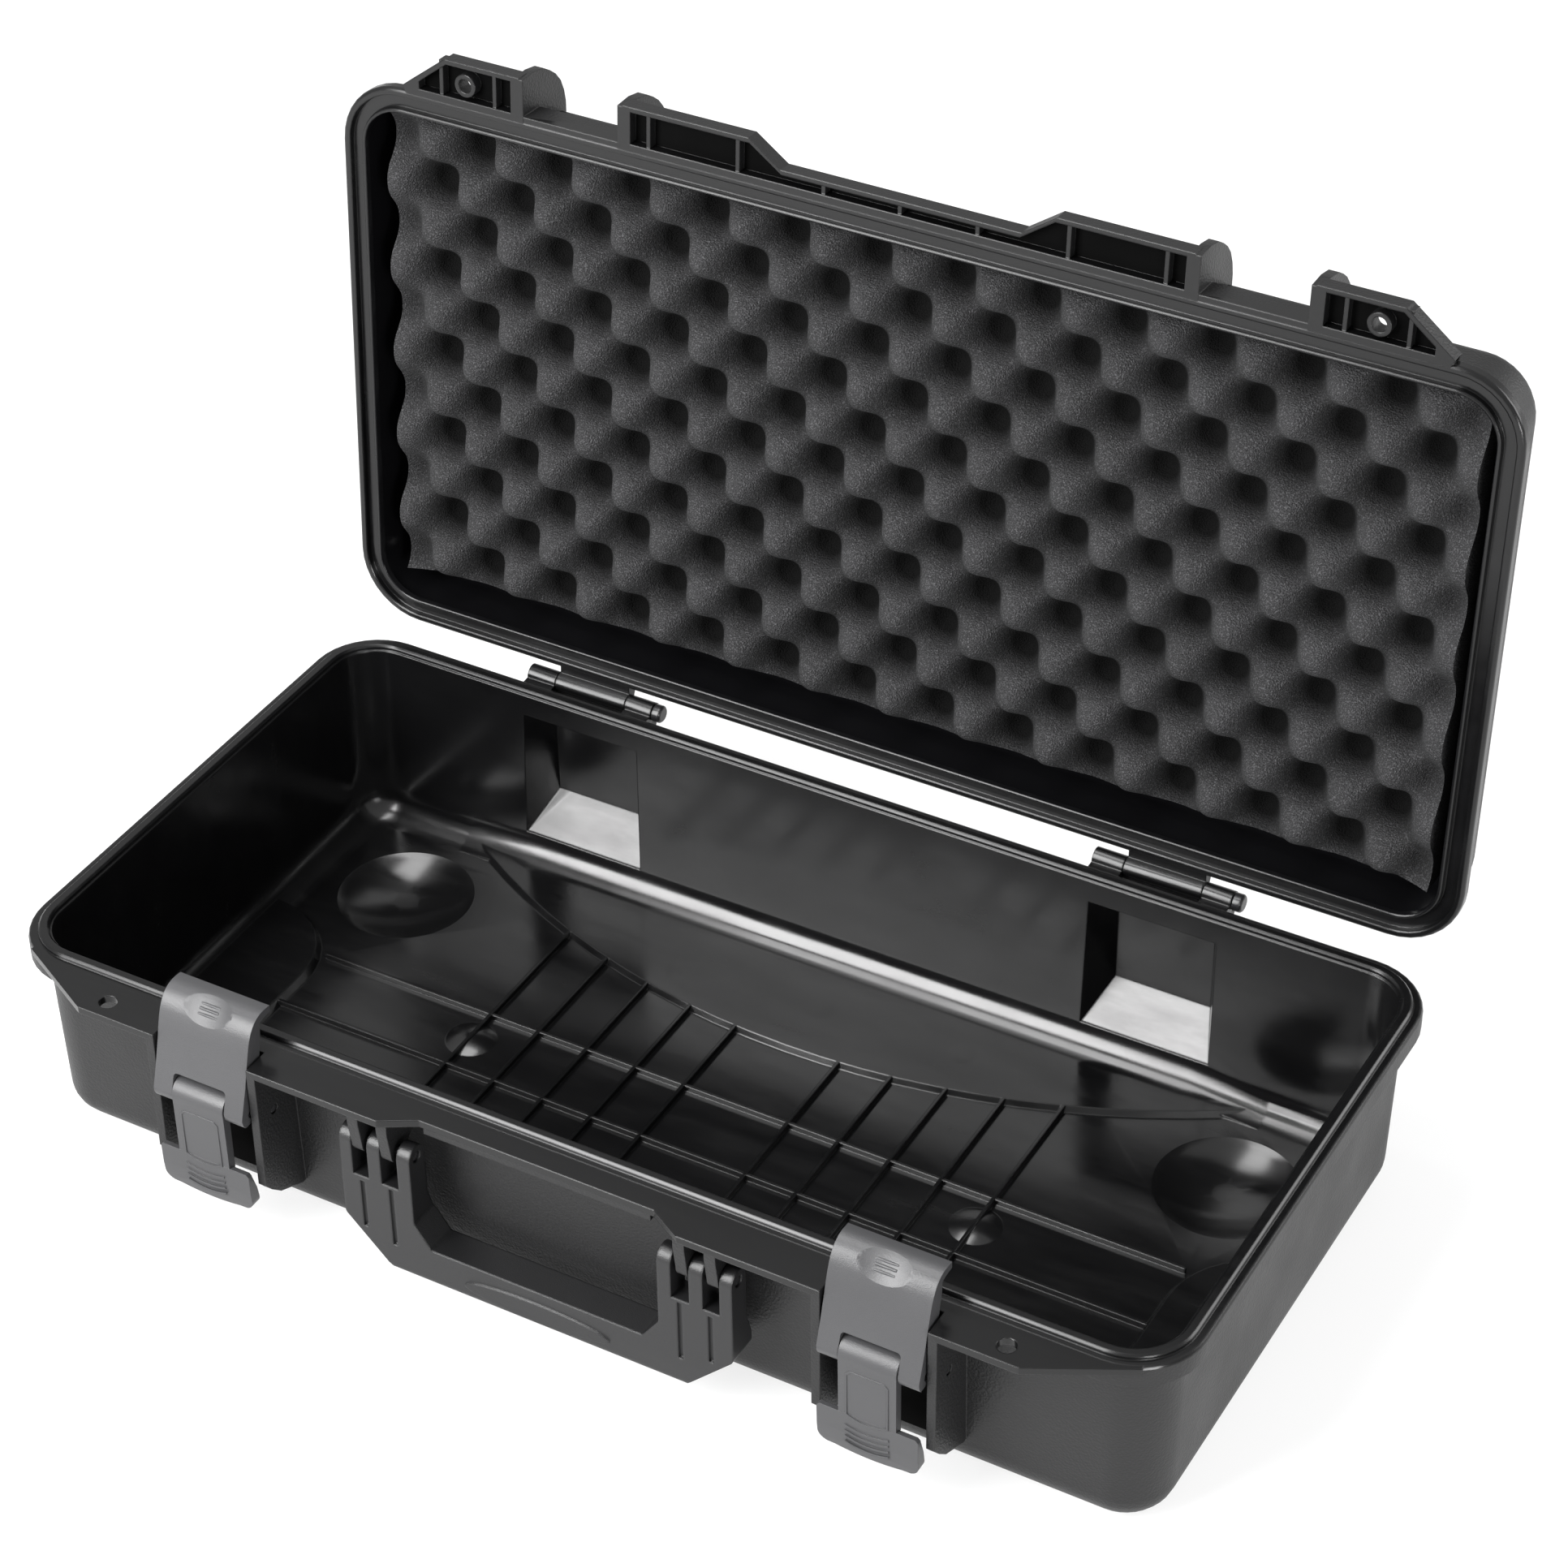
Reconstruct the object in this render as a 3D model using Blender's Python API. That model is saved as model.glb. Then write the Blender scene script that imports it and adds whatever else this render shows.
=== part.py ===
"""Hard plastic equipment case with an open lid, two latches and a carry handle.

X is the long side, -Y the front with the handle, +Z up.  The origin is the middle of the
flat underside of the base.  All dimensions below are millimetres; MM turns them to metres.
"""
import math

import bmesh
import bpy
from mathutils import Matrix, Vector

MM = 0.001
GAP = 0.3

# Whole case
CASE_WIDTH = 490.0
CASE_DEPTH = 240.8
CORNER_RADIUS = 27.6
CORNER_STEPS = 9
RIM_HEIGHT = 86.4
CLOSED_HEIGHT = 119.5
LID_OPEN_ANGLE = 93.5

# Base shell
FLOOR_TOP = 4.3
FLOOR_ROOT = 3.6
OUTER_FILLET = 13.0
INNER_FILLET = 12.0
FLANGE_TOP = RIM_HEIGHT - 0.05
FLANGE_BOTTOM = RIM_HEIGHT - 3.1
FLANGE_FRONT = -136.2
FLANGE_SETBACK = -128.5
FLANGE_BACK = -118.0
PADLOCK_HOLE_X = 187.3
PADLOCK_HOLE_Y = -128.6
PADLOCK_HOLE_RADIUS = 3.6

# Floor relief
RIB_THICKNESS = 1.4
RIB_TOP = 6.7
CROSS_RIB_X = (23.4, 45.7, 68.1, 90.5, 112.9)
LONG_RIB_Y = (12.0, -21.5)
LONG_RIB_REACH = 191.8
RIB_FRONT_END = -105.5
CRESCENT_TOP = 6.75
CRESCENT_CENTRE_Y = 376.5
CRESCENT_RADIUS = 326.3
CRESCENT_SLOPE = 1.6
RELIEF_BACK = 107.6
BACK_FILLET_Y = 97.6
BACK_FILLET_RADIUS = 12.15
BACK_FILLET_REACH = (150.0, 184.0)
CORNER_PAD_TOP = 7.3
CORNER_PAD_X = 191.5
CORNER_PAD_Y = 33.0
CORNER_PAD_RADIUS = 38.0
CORNER_PAD_SLOPE = 2.0
BOWL_X = 187.0
BOWL_Y = 62.0
BOWL_RADIUS = 28.6
BOWL_DEPTH = 3.2
DOME_X = 112.9
DOME_Y = -3.0
DOME_RADIUS = 10.4
DOME_HEIGHT = 1.9

# Latches
LATCH_X = 140.4
WELL_HALF = 20.9
CHEEK_THICKNESS = 3.5
WELL_BACK_Y = -115.3
BASE_PIN_Y = -126.6
BASE_PIN_Z = 62.2
BASE_PIN_RADIUS = 1.8
HOOK_PIN_Y = -134.6
HOOK_PIN_Z = 64.2
HOOK_PIN_RADIUS = 1.5
HOOK_HALF = 20.0
HOOK_CURVE = ((-117.2, 103.3), (-121.4, 103.7), (-125.0, 103.0), (-128.2, 100.9), (-130.7, 97.2),
              (-132.6, 92.0), (-134.2, 86.0), (-135.6, 80.8), (-136.9, 75.9))
HOOK_INNER_CURVE = ((-132.0, 75.6), (-130.9, 82.5), (-129.6, 89.0), (-128.0, 94.6), (-126.0, 98.2),
                    (-123.6, 99.9), (-121.0, 100.4), (-117.2, 100.5))
HOOK_CORNER = 3.0
DISH_STATION = 2.9
DISH_HALF_WIDTH = 10.6
DISH_HALF_LENGTH = 6.4
DISH_DEPTH = 1.4
DISH_RIDGES = (-2.3, 0.0, 2.3)
DISH_RIDGE_HALF = 4.2
DISH_RIDGE_RADIUS = 0.55
NOTCH_HALF = 11.7
NOTCH_TOP = 73.3
NOTCH_CORNER = 1.6
HOOK_LEG_RADIUS = 5.8
LEVER_HALF = 11.4
LEVER_BARREL_RADIUS = 6.3
LEVER_EAR_RADIUS = 4.2
LEVER_NECK_FRONT = -140.5
LEVER_NECK_BACK = -136.9
LEVER_FOOT_TOP = 38.0
LEVER_FOOT_BOTTOM = 19.0
LEVER_FOOT_HALF = 20.0
LEVER_PANEL_HALF = 8.4
LEVER_PANEL_TOP = 59.0
LEVER_PANEL_END = 37.4
LEVER_PANEL_SAG = 2.0
LEVER_PANEL_LINE = 0.6
LEVER_PANEL_RISE = 0.45
GRIP_RIDGE_HALF = 8.6
GRIP_RIDGE_TOP = 32.6
GRIP_RIDGE_STEP = 2.7
GRIP_RIDGE_WIDTH = 0.9
GRIP_RIDGE_SAG = 1.5
GRIP_RIDGE_COUNT = 4

# Handle
HANDLE_PIN_Y = -127.8
HANDLE_PIN_Z = 67.0
HANDLE_PIN_RADIUS = 2.0
HANDLE_FRONT = -133.0
HANDLE_BACK = -119.5
HANDLE_LUG_RADIUS = 5.0
HANDLE_LUG_X = (62.1, 74.7)
HANDLE_LUG_THICKNESS = 4.6
BASE_LUG_RADIUS = 4.8

# Hinges
HINGE_X = 129.0
HINGE_Y = 126.9
HINGE_Z = 86.3
KNUCKLE_RADIUS = 4.0
BASE_KNUCKLES = ((-31.9, -18.9), (14.7, 26.7))
LID_KNUCKLE = (-18.5, 14.3)
HINGE_PIN_RADIUS = 1.6
HINGE_HEAD_RADIUS = 3.7
HINGE_HEAD = (27.0, 31.0)
HINGE_BLOCK_TOP = 81.7

# Lid
LID_FLANGE_FRONT = -137.5
LID_FLANGE_SETBACK = -128.0
LID_FLANGE_BOTTOM = 86.75
LID_FLANGE_TOP = 93.2
LID_FLANGE_PLATE = 2.0
LID_FLANGE_WALL = 2.0
LID_POCKET_BACK = -122.4
LID_RIB = 1.6
FIN_THICKNESS = 4.0
CATCH_TOP = 99.5
CATCH_FRONT = -122.0
BOSS_RADIUS = 4.6
BOSS_HOLE_RADIUS = 2.9

# Foam pad
FOAM_HALF_X = 228.0
FOAM_HALF_Y = 103.0
FOAM_CENTRE_Y = -1.0
FOAM_TOP = 116.6
FOAM_BOTTOM = 93.4
FOAM_CORNER = 9.0


def clear_scene():
    for item in list(bpy.data.objects):
        bpy.data.objects.remove(item, do_unlink=True)


def make_material(name, colour, roughness, metallic):
    material = bpy.data.materials.new(name)
    material.use_nodes = True
    shader = material.node_tree.nodes["Principled BSDF"]
    shader.inputs["Base Color"].default_value = (colour[0], colour[1], colour[2], 1.0)
    shader.inputs["Roughness"].default_value = roughness
    shader.inputs["Metallic"].default_value = metallic
    return material


# ---------------------------------------------------------------- outlines

def arc(centre, radius, start, end, steps):
    """Points on a circle from one angle to another, in degrees."""
    points = []
    for step in range(steps + 1):
        angle = math.radians(start + (end - start) * step / steps)
        across = centre[0] + radius * math.cos(angle)
        along = centre[1] + radius * math.sin(angle)
        points.append((across, along))
    return points


def circle(centre, radius, sides):
    return arc(centre, radius, 0.0, 360.0 * (sides - 1) / sides, sides - 1)


def rounded_outline(corners, steps):
    """Polygon whose corners (x, y, radius) are rounded where the radius is above zero."""
    points = []
    count = len(corners)
    for index, corner in enumerate(corners):
        here = Vector(corner[:2])
        before = Vector(corners[index - 1][:2])
        after = Vector(corners[(index + 1) % count][:2])
        radius = corner[2]
        if radius <= 0.0:
            points.append((here.x, here.y))
            continue
        to_before = (before - here).normalized()
        to_after = (after - here).normalized()
        half_angle = to_before.angle(to_after) / 2.0
        bisector = (to_before + to_after).normalized()
        centre = here + bisector * (radius / math.sin(half_angle))
        first = here + to_before * (radius / math.tan(half_angle))
        last = here + to_after * (radius / math.tan(half_angle))
        start = math.atan2(first.y - centre.y, first.x - centre.x)
        end = math.atan2(last.y - centre.y, last.x - centre.x)
        turn = (end - start + math.pi) % (2.0 * math.pi) - math.pi
        for step in range(steps + 1):
            angle = start + turn * step / steps
            points.append((centre.x + radius * math.cos(angle), centre.y + radius * math.sin(angle)))
    return points


def smooth_curve(points, steps):
    """Points along a curve that runs evenly through every given point."""
    curve = []
    last = len(points) - 1
    for index in range(last):
        before = Vector(points[max(index - 1, 0)])
        here = Vector(points[index])
        after = Vector(points[index + 1])
        beyond = Vector(points[min(index + 2, last)])
        for step in range(steps):
            part = step / steps
            bend = (2.0 * before - 5.0 * here + 4.0 * after - beyond) * part ** 2
            twist = (3.0 * here - before - 3.0 * after + beyond) * part ** 3
            place = 0.5 * (2.0 * here + (after - before) * part + bend + twist)
            curve.append((place.x, place.y))
    curve.append(tuple(points[last]))
    return curve


def case_ring(inset, height):
    """Rounded rectangle of the case outline, moved in by inset, at one height."""
    half_x = CASE_WIDTH / 2.0 - CORNER_RADIUS
    half_y = CASE_DEPTH / 2.0 - CORNER_RADIUS
    radius = CORNER_RADIUS - inset
    points = []
    quarters = ((1, 1, 0.0), (-1, 1, 90.0), (-1, -1, 180.0), (1, -1, 270.0))
    for side_x, side_y, start in quarters:
        centre = (side_x * half_x, side_y * half_y)
        for across, along in arc(centre, radius, start, start + 90.0, CORNER_STEPS):
            points.append((across, along, height))
    return points


# ---------------------------------------------------------------- solids

def solid(name, points, faces):
    """Closed mesh object from millimetre points."""
    mesh = bpy.data.meshes.new(name)
    mesh.from_pydata([Vector(point) * MM for point in points], [], faces)
    work = bmesh.new()
    work.from_mesh(mesh)
    bmesh.ops.recalc_face_normals(work, faces=work.faces)
    work.to_mesh(mesh)
    work.free()
    item = bpy.data.objects.new(name, mesh)
    bpy.context.collection.objects.link(item)
    return item


def loft(name, rings):
    """Solid skinned over rings of equal point count, with flat ends."""
    count = len(rings[0])
    points = [point for ring in rings for point in ring]
    faces = []
    for level in range(len(rings) - 1):
        low = level * count
        high = low + count
        for index in range(count):
            after = (index + 1) % count
            faces.append((low + index, low + after, high + after, high + index))
    faces.append(tuple(range(count)))
    faces.append(tuple(range(len(points) - count, len(points))))
    return solid(name, points, faces)


def lift(outline, axis, level):
    """Put a flat outline at one position along an axis."""
    if axis == "x":
        return [(level, first, second) for first, second in outline]
    if axis == "y":
        return [(first, level, second) for first, second in outline]
    return [(first, second, level) for first, second in outline]


def prism(name, outline, axis, low, high):
    return loft(name, [lift(outline, axis, low), lift(outline, axis, high)])


def rod(name, centre_y, centre_z, radius, low, high, sides=24):
    return prism(name, circle((centre_y, centre_z), radius, sides), "x", low, high)


def box(name, low, high):
    outline = [(low[0], low[1]), (high[0], low[1]), (high[0], high[1]), (low[0], high[1])]
    return prism(name, outline, "z", low[2], high[2])


def combine(target, tools, operation):
    """Join, cut or intersect the target with every tool and keep the resulting mesh."""
    for tool in tools:
        step = target.modifiers.new(tool.name, "BOOLEAN")
        step.operation = operation
        step.solver = "EXACT"
        step.object = tool
    graph = bpy.context.evaluated_depsgraph_get()
    mesh = bpy.data.meshes.new_from_object(target.evaluated_get(graph))
    target.modifiers.clear()
    target.data = mesh
    for tool in tools:
        bpy.data.objects.remove(tool, do_unlink=True)
    return target


def settle(item, name, pivot, material, turn=0.0):
    """Name a finished piece, put its origin on its pivot and turn it about X there."""
    item.name = name
    item.data.name = name
    work = bmesh.new()
    work.from_mesh(item.data)
    bmesh.ops.remove_doubles(work, verts=work.verts, dist=MM * 0.0005)
    bmesh.ops.dissolve_degenerate(work, edges=work.edges, dist=MM * 0.0005)
    work.to_mesh(item.data)
    work.free()
    anchor = Vector(pivot) * MM
    item.data.transform(Matrix.Translation(-anchor))
    item.data.transform(Matrix.Rotation(math.radians(turn), 4, "X"))
    item.location = anchor
    item.data.materials.clear()
    item.data.materials.append(material)
    for face in item.data.polygons:
        face.use_smooth = True
    item.data.set_sharp_from_angle(angle=math.radians(32.0))
    return item


# ---------------------------------------------------------------- base shell

def base_tub():
    """Tub with rounded corners, a rim with a sealing bead and a turned-down skirt."""
    rim = RIM_HEIGHT
    profile = []
    for across, height in arc((21.1, OUTER_FILLET), OUTER_FILLET, 270.0, 180.0, 6):
        profile.append((across, height))
    profile += [(6.3, rim - 3.2), (2.2, rim - 3.2), (2.2, rim - 9.0), (0.0, rim - 9.0)]
    profile += [(0.0, rim - 1.4), (0.2, rim - 0.8), (0.6, rim - 0.25), (1.3, rim), (3.6, rim)]
    profile += [(3.8, rim + 1.2), (4.6, rim + 1.9), (7.2, rim + 1.9), (8.0, rim + 1.2)]
    profile += [(8.2, rim - 0.2), (8.9, rim - 0.2), (9.0, rim - 0.8)]
    for across, height in arc((22.8, FLOOR_TOP + INNER_FILLET), INNER_FILLET, 180.0, 270.0, 6):
        profile.append((across, height))
    return loft("tub", [case_ring(inset, height) for inset, height in profile])


def front_flange():
    """Shelf along the front rim, notched for the latches and set back behind the handle."""
    near = LATCH_X - WELL_HALF
    far = LATCH_X + WELL_HALF
    front = FLANGE_FRONT
    notch = -124.5
    half = [(0.0, FLANGE_SETBACK), (49.0, FLANGE_SETBACK), (62.5, front), (near, front)]
    half += [(near, notch), (far, notch), (far, front), (195.5, front), (232.0, -117.0)]
    half += [(231.0, -113.0), (214.0, FLANGE_BACK)]
    right = half[1:]
    left = [(-across, along) for across, along in reversed(right)]
    return prism("flange", right + left, "z", FLANGE_BOTTOM, FLANGE_TOP)


def flange_lip():
    return box("flange_lip", (-47.5, FLANGE_SETBACK + 0.1, 80.6), (47.5, -125.6, 85.4))


def latch_cheek(side, inner_x, outer_x):
    """Upright plate beside a latch that carries the latch pin."""
    front = FLANGE_FRONT
    profile = [(front, 85.6), (front, 31.0), (-133.0, 27.0), (-127.7, 22.0), (-114.3, 15.6)]
    profile += [(-111.0, 15.6), (-112.6, 82.0), (-112.6, 85.6)]
    low = min(side * inner_x, side * outer_x)
    high = max(side * inner_x, side * outer_x)
    return prism("cheek", profile, "x", low, high)


def latch_well_back(centre):
    """Wall behind a latch, between its two cheeks."""
    half = WELL_HALF + 1.0
    return box("well_back", (centre - half, WELL_BACK_Y, 15.7), (centre + half, -111.5, 81.9))


def base_handle_lug(centre_x):
    """Ear under the front flange that the handle pin passes through."""
    pivot = (HANDLE_PIN_Y, HANDLE_PIN_Z)
    profile = [(-113.5, 84.8), (-134.2, 84.8), (-134.2, 78.5)]
    profile += arc(pivot, BASE_LUG_RADIUS, 175.0, 335.0, 10)
    profile += [(-113.5, 76.0)]
    half = HANDLE_LUG_THICKNESS / 2.0
    return prism("base_lug", profile, "x", centre_x - half, centre_x + half)


def hinge_block(centre_x):
    """Tapered bulge on the back wall below a hinge."""
    side = [(108.0, 6.5), (112.5, 6.5), (128.3, 33.1), (128.3, HINGE_BLOCK_TOP)]
    side += [(112.0, HINGE_BLOCK_TOP), (111.2, 20.0)]
    plan = [(-34.4, 106.0), (34.4, 106.0), (22.5, 130.3), (-22.5, 130.3)]
    plan = [(centre_x + across, along) for across, along in plan]
    block = prism("hinge_block", side, "x", centre_x - 40.0, centre_x + 40.0)
    return combine(block, [prism("block_plan", plan, "z", -5.0, 95.0)], "INTERSECT")


def hinge_pocket(centre_x):
    """Hollow behind the hinge block, open to the inside of the base."""
    side = [(104.0, 16.8), (110.4, 16.8), (125.8, 31.4), (125.8, 76.5), (104.0, 76.5)]
    plan = [(-30.7, 103.0), (30.7, 103.0), (20.2, 126.5), (-20.2, 126.5)]
    plan = [(centre_x + across, along) for across, along in plan]
    hollow = prism("hinge_pocket", side, "x", centre_x - 40.0, centre_x + 40.0)
    return combine(hollow, [prism("pocket_plan", plan, "z", -5.0, 95.0)], "INTERSECT")


def base_knuckle(low, high):
    profile = [(118.0, 79.0), (127.8, 79.0)]
    profile += arc((HINGE_Y, HINGE_Z), KNUCKLE_RADIUS, -38.0, 180.0, 16)
    profile += [(118.0, 86.0)]
    return prism("base_knuckle", profile, "x", low, high)


def crescent():
    """Raised step along the back of the floor with a curved sloping front."""
    reach = math.sqrt(CRESCENT_RADIUS ** 2 - (CRESCENT_CENTRE_Y - RELIEF_BACK) ** 2)
    rings = []
    for slope, level in ((0.0, FLOOR_ROOT), (0.0, FLOOR_TOP), (CRESCENT_SLOPE, CRESCENT_TOP)):
        radius = CRESCENT_RADIUS - slope
        spread = math.degrees(math.asin(reach / CRESCENT_RADIUS))
        outline = arc((0.0, CRESCENT_CENTRE_Y), radius, 270.0 - spread, 270.0 + spread, 24)
        rings.append(lift(outline, "z", level))
    return loft("crescent", rings)


def back_fillet():
    """Hollow curve between the raised step and the back wall, sinking to the floor at its ends."""
    near, far = BACK_FILLET_REACH
    rise = CRESCENT_TOP - FLOOR_TOP
    rings = []
    for across, lifted in ((-far, 0.1), (-near, rise), (near, rise), (far, 0.1)):
        level = FLOOR_TOP + lifted
        centre = (BACK_FILLET_Y, level + BACK_FILLET_RADIUS)
        profile = arc(centre, BACK_FILLET_RADIUS, 270.0, 360.0, 8)
        profile += [(111.0, level + BACK_FILLET_RADIUS), (111.0, 12.0), (104.0, 3.0)]
        profile += [(BACK_FILLET_Y, 3.0)]
        rings.append(lift(profile, "x", across))
    return loft("back_fillet", rings)


def corner_pad(side):
    """Raised floor field in a front corner."""
    rings = []
    for slope, level in ((0.0, FLOOR_ROOT), (0.0, FLOOR_TOP), (CORNER_PAD_SLOPE, CORNER_PAD_TOP)):
        edge = CORNER_PAD_X + slope
        top = CORNER_PAD_Y - slope
        radius = CORNER_PAD_RADIUS - slope
        bend = (edge + radius, top - radius)
        outline = [(edge, -107.4)]
        outline += arc(bend, radius, 180.0, 90.0, 8)
        outline += [(232.0, top)]
        outline += arc((217.4, -92.8), 14.6, 0.0, -90.0, 5)
        rings.append([(side * across, along, level) for across, along in outline])
    return loft("corner_pad", rings)


def floor_ribs():
    """Grid of thin ribs across the floor."""
    ribs = []
    half = RIB_THICKNESS / 2.0
    for distance in CROSS_RIB_X:
        back = CRESCENT_CENTRE_Y - math.sqrt(CRESCENT_RADIUS ** 2 - distance ** 2) + 2.0
        for side in (-1, 1):
            centre = side * distance
            low = (centre - half, RIB_FRONT_END, FLOOR_ROOT)
            high = (centre + half, back, RIB_TOP)
            ribs.append(box("cross_rib", low, high))
    for along in LONG_RIB_Y:
        low = (-LONG_RIB_REACH - 1.0, along - half, FLOOR_ROOT + 0.2)
        high = (LONG_RIB_REACH + 1.0, along + half, RIB_TOP - 0.1)
        ribs.append(box("long_rib", low, high))
    return ribs


def ball_slice(name, centre, radius, rise, start_level, sides):
    """Slice of a ball that is radius wide at floor level and reaches rise above or below it."""
    ball = (radius ** 2 + rise ** 2) / (2.0 * abs(rise))
    way = 1.0 if rise > 0.0 else -1.0
    rings = [lift(circle(centre, radius, sides), "z", start_level)]
    for share in (1.0, 0.88, 0.74, 0.58, 0.4, 0.2):
        reach = radius * share
        height = abs(rise) - ball + math.sqrt(ball ** 2 - reach ** 2)
        rings.append(lift(circle(centre, max(reach, 0.5), sides), "z", FLOOR_TOP + way * height))
    return loft(name, rings)


def floor_bowl(side):
    """Shallow round bowl sunk into the floor."""
    centre = (side * BOWL_X, BOWL_Y)
    return ball_slice("floor_bowl", centre, BOWL_RADIUS, -BOWL_DEPTH, FLOOR_TOP + 1.0, 48)


def floor_dome(side):
    """Low dome on the floor below the outermost cross rib."""
    centre = (side * DOME_X, DOME_Y)
    return ball_slice("floor_dome", centre, DOME_RADIUS, DOME_HEIGHT, FLOOR_ROOT, 32)


def base_shell(material):
    additions = [front_flange(), flange_lip(), crescent(), back_fillet(), corner_pad(-1), corner_pad(1)]
    for side in (-1, 1):
        near = LATCH_X - WELL_HALF
        far = LATCH_X + WELL_HALF
        additions.append(latch_cheek(side, near - CHEEK_THICKNESS, near))
        additions.append(latch_cheek(side, far, far + CHEEK_THICKNESS))
        for lug_x in HANDLE_LUG_X:
            additions.append(base_handle_lug(side * lug_x))
        additions.append(hinge_block(side * HINGE_X))
        additions.append(floor_dome(side))
        additions.append(latch_well_back(side * LATCH_X))
        for low, high in BASE_KNUCKLES:
            additions.append(base_knuckle(side * HINGE_X + low, side * HINGE_X + high))
    additions += floor_ribs()
    shell = combine(base_tub(), additions, "UNION")
    cuts = []
    for side in (-1, 1):
        cuts.append(hinge_pocket(side * HINGE_X))
        cuts.append(floor_bowl(side))
        hole = circle((side * PADLOCK_HOLE_X, PADLOCK_HOLE_Y), PADLOCK_HOLE_RADIUS, 24)
        cuts.append(prism("padlock_hole", hole, "z", 75.0, 92.0))
        middle = side * LATCH_X
        reach = WELL_HALF + CHEEK_THICKNESS + 1.0
        bore = BASE_PIN_RADIUS + GAP
        cuts.append(rod("latch_bore", BASE_PIN_Y, BASE_PIN_Z, bore, middle - reach, middle + reach))
        middle = side * 68.4
        bore = HANDLE_PIN_RADIUS + GAP
        cuts.append(rod("handle_bore", HANDLE_PIN_Y, HANDLE_PIN_Z, bore, middle - 12.0, middle + 12.0))
        middle = side * HINGE_X
        bore = HINGE_PIN_RADIUS + GAP
        cuts.append(rod("hinge_bore", HINGE_Y, HINGE_Z, bore, middle - 36.0, middle + 36.0))
    shell = combine(shell, cuts, "DIFFERENCE")
    return settle(shell, "base_shell", (0.0, 0.0, 0.0), material)


# ---------------------------------------------------------------- lid shell, drawn closed

def lid_cover():
    """Shallow cover with rounded edges and a groove that takes the sealing bead."""
    top = CLOSED_HEIGHT
    profile = []
    for across, height in arc((13.8, top - 8.0), 8.0, 90.0, 180.0, 5):
        profile.append((across, height))
    profile += [(4.8, 92.0), (0.6, 92.0), (0.0, 91.4), (0.0, 88.1), (0.2, 87.5), (0.6, 87.0)]
    profile += [(1.3, 86.7), (2.7, 86.7), (3.1, 86.9), (3.3, 87.3), (3.3, 89.4), (8.6, 89.4)]
    profile += [(8.6, 87.5), (8.9, 87.0), (9.3, 86.8), (9.8, 86.8), (10.2, 87.0), (10.3, 87.4)]
    profile += [(10.3, 89.8), (8.0, 92.0)]
    for across, height in arc((14.6, top - 8.6), 6.0, 180.0, 90.0, 5):
        profile.append((across, height))
    return loft("cover", [case_ring(inset, height) for inset, height in profile])


def mirrored(half, side):
    return [(side * across, along) for across, along in half]


def lid_flange_outlines():
    """Front boundary of each flange section; the middle one spans both sides."""
    front = LID_FLANGE_FRONT
    setback = LID_FLANGE_SETBACK
    middle = [(-117.5, front), (-63.2, front), (-49.5, setback), (49.5, setback)]
    middle += [(63.2, front), (117.5, front)]
    outer = [(163.0, front), (196.5, front), (216.0, -122.5)]
    return middle, outer


def lid_pocket_outlines():
    front = LID_FLANGE_FRONT + LID_FLANGE_WALL
    setback = LID_FLANGE_SETBACK + LID_FLANGE_WALL
    middle = [(-114.0, front), (-62.6, front), (-48.9, setback), (48.9, setback)]
    middle += [(62.6, front), (114.0, front)]
    middle += [(114.0, LID_POCKET_BACK), (-114.0, LID_POCKET_BACK)]
    outer = [(166.8, front), (195.8, front), (208.5, -125.6), (208.5, LID_POCKET_BACK)]
    outer += [(166.8, LID_POCKET_BACK)]
    return middle, outer


def lid_flange_section(outline, end_low, end_high):
    """Deep skirt part and thin top plate of one flange section."""
    skirt = outline + [(end_high, -118.5), (end_low, -118.5)]
    plate = outline + [(end_high, -114.6), (end_low, -114.6)]
    lower = prism("lid_flange", skirt, "z", LID_FLANGE_BOTTOM, 92.6)
    upper = prism("lid_plate", plate, "z", LID_FLANGE_TOP - LID_FLANGE_PLATE, LID_FLANGE_TOP)
    return [lower, upper]


def lid_flange():
    middle, outer = lid_flange_outlines()
    pieces = lid_flange_section(middle, -117.5, 117.5)
    for side in (-1, 1):
        outline = mirrored(outer, side)
        pieces += lid_flange_section(outline, side * 163.0, side * 214.0)
    return pieces


def lid_pockets():
    middle, outer = lid_pocket_outlines()
    depth = LID_FLANGE_TOP - LID_FLANGE_PLATE
    hollows = [prism("lid_pocket", middle, "z", 80.0, depth)]
    for side in (-1, 1):
        hollows.append(prism("lid_pocket", mirrored(outer, side), "z", 80.0, depth))
    return hollows


def lid_flange_ribs():
    ribs = []
    half = LID_RIB / 2.0
    places = [(distance, -136.6) for distance in (68.0, 106.4, 174.5, 198.5)]
    places += [(31.7, -127.0)]
    for distance, front in places:
        for side in (-1, 1):
            low = (side * distance - half, front, 87.4)
            high = (side * distance + half, -121.6, 92.2)
            ribs.append(box("lid_rib", low, high))
    ribs.append(box("lid_rib", (-half, -127.0, 87.4), (half, -121.6, 92.2)))
    return ribs


def lid_boss(side):
    outline = circle((side * PADLOCK_HOLE_X, PADLOCK_HOLE_Y), BOSS_RADIUS, 24)
    return prism("lid_boss", outline, "z", LID_FLANGE_BOTTOM, 92.4)


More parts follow.
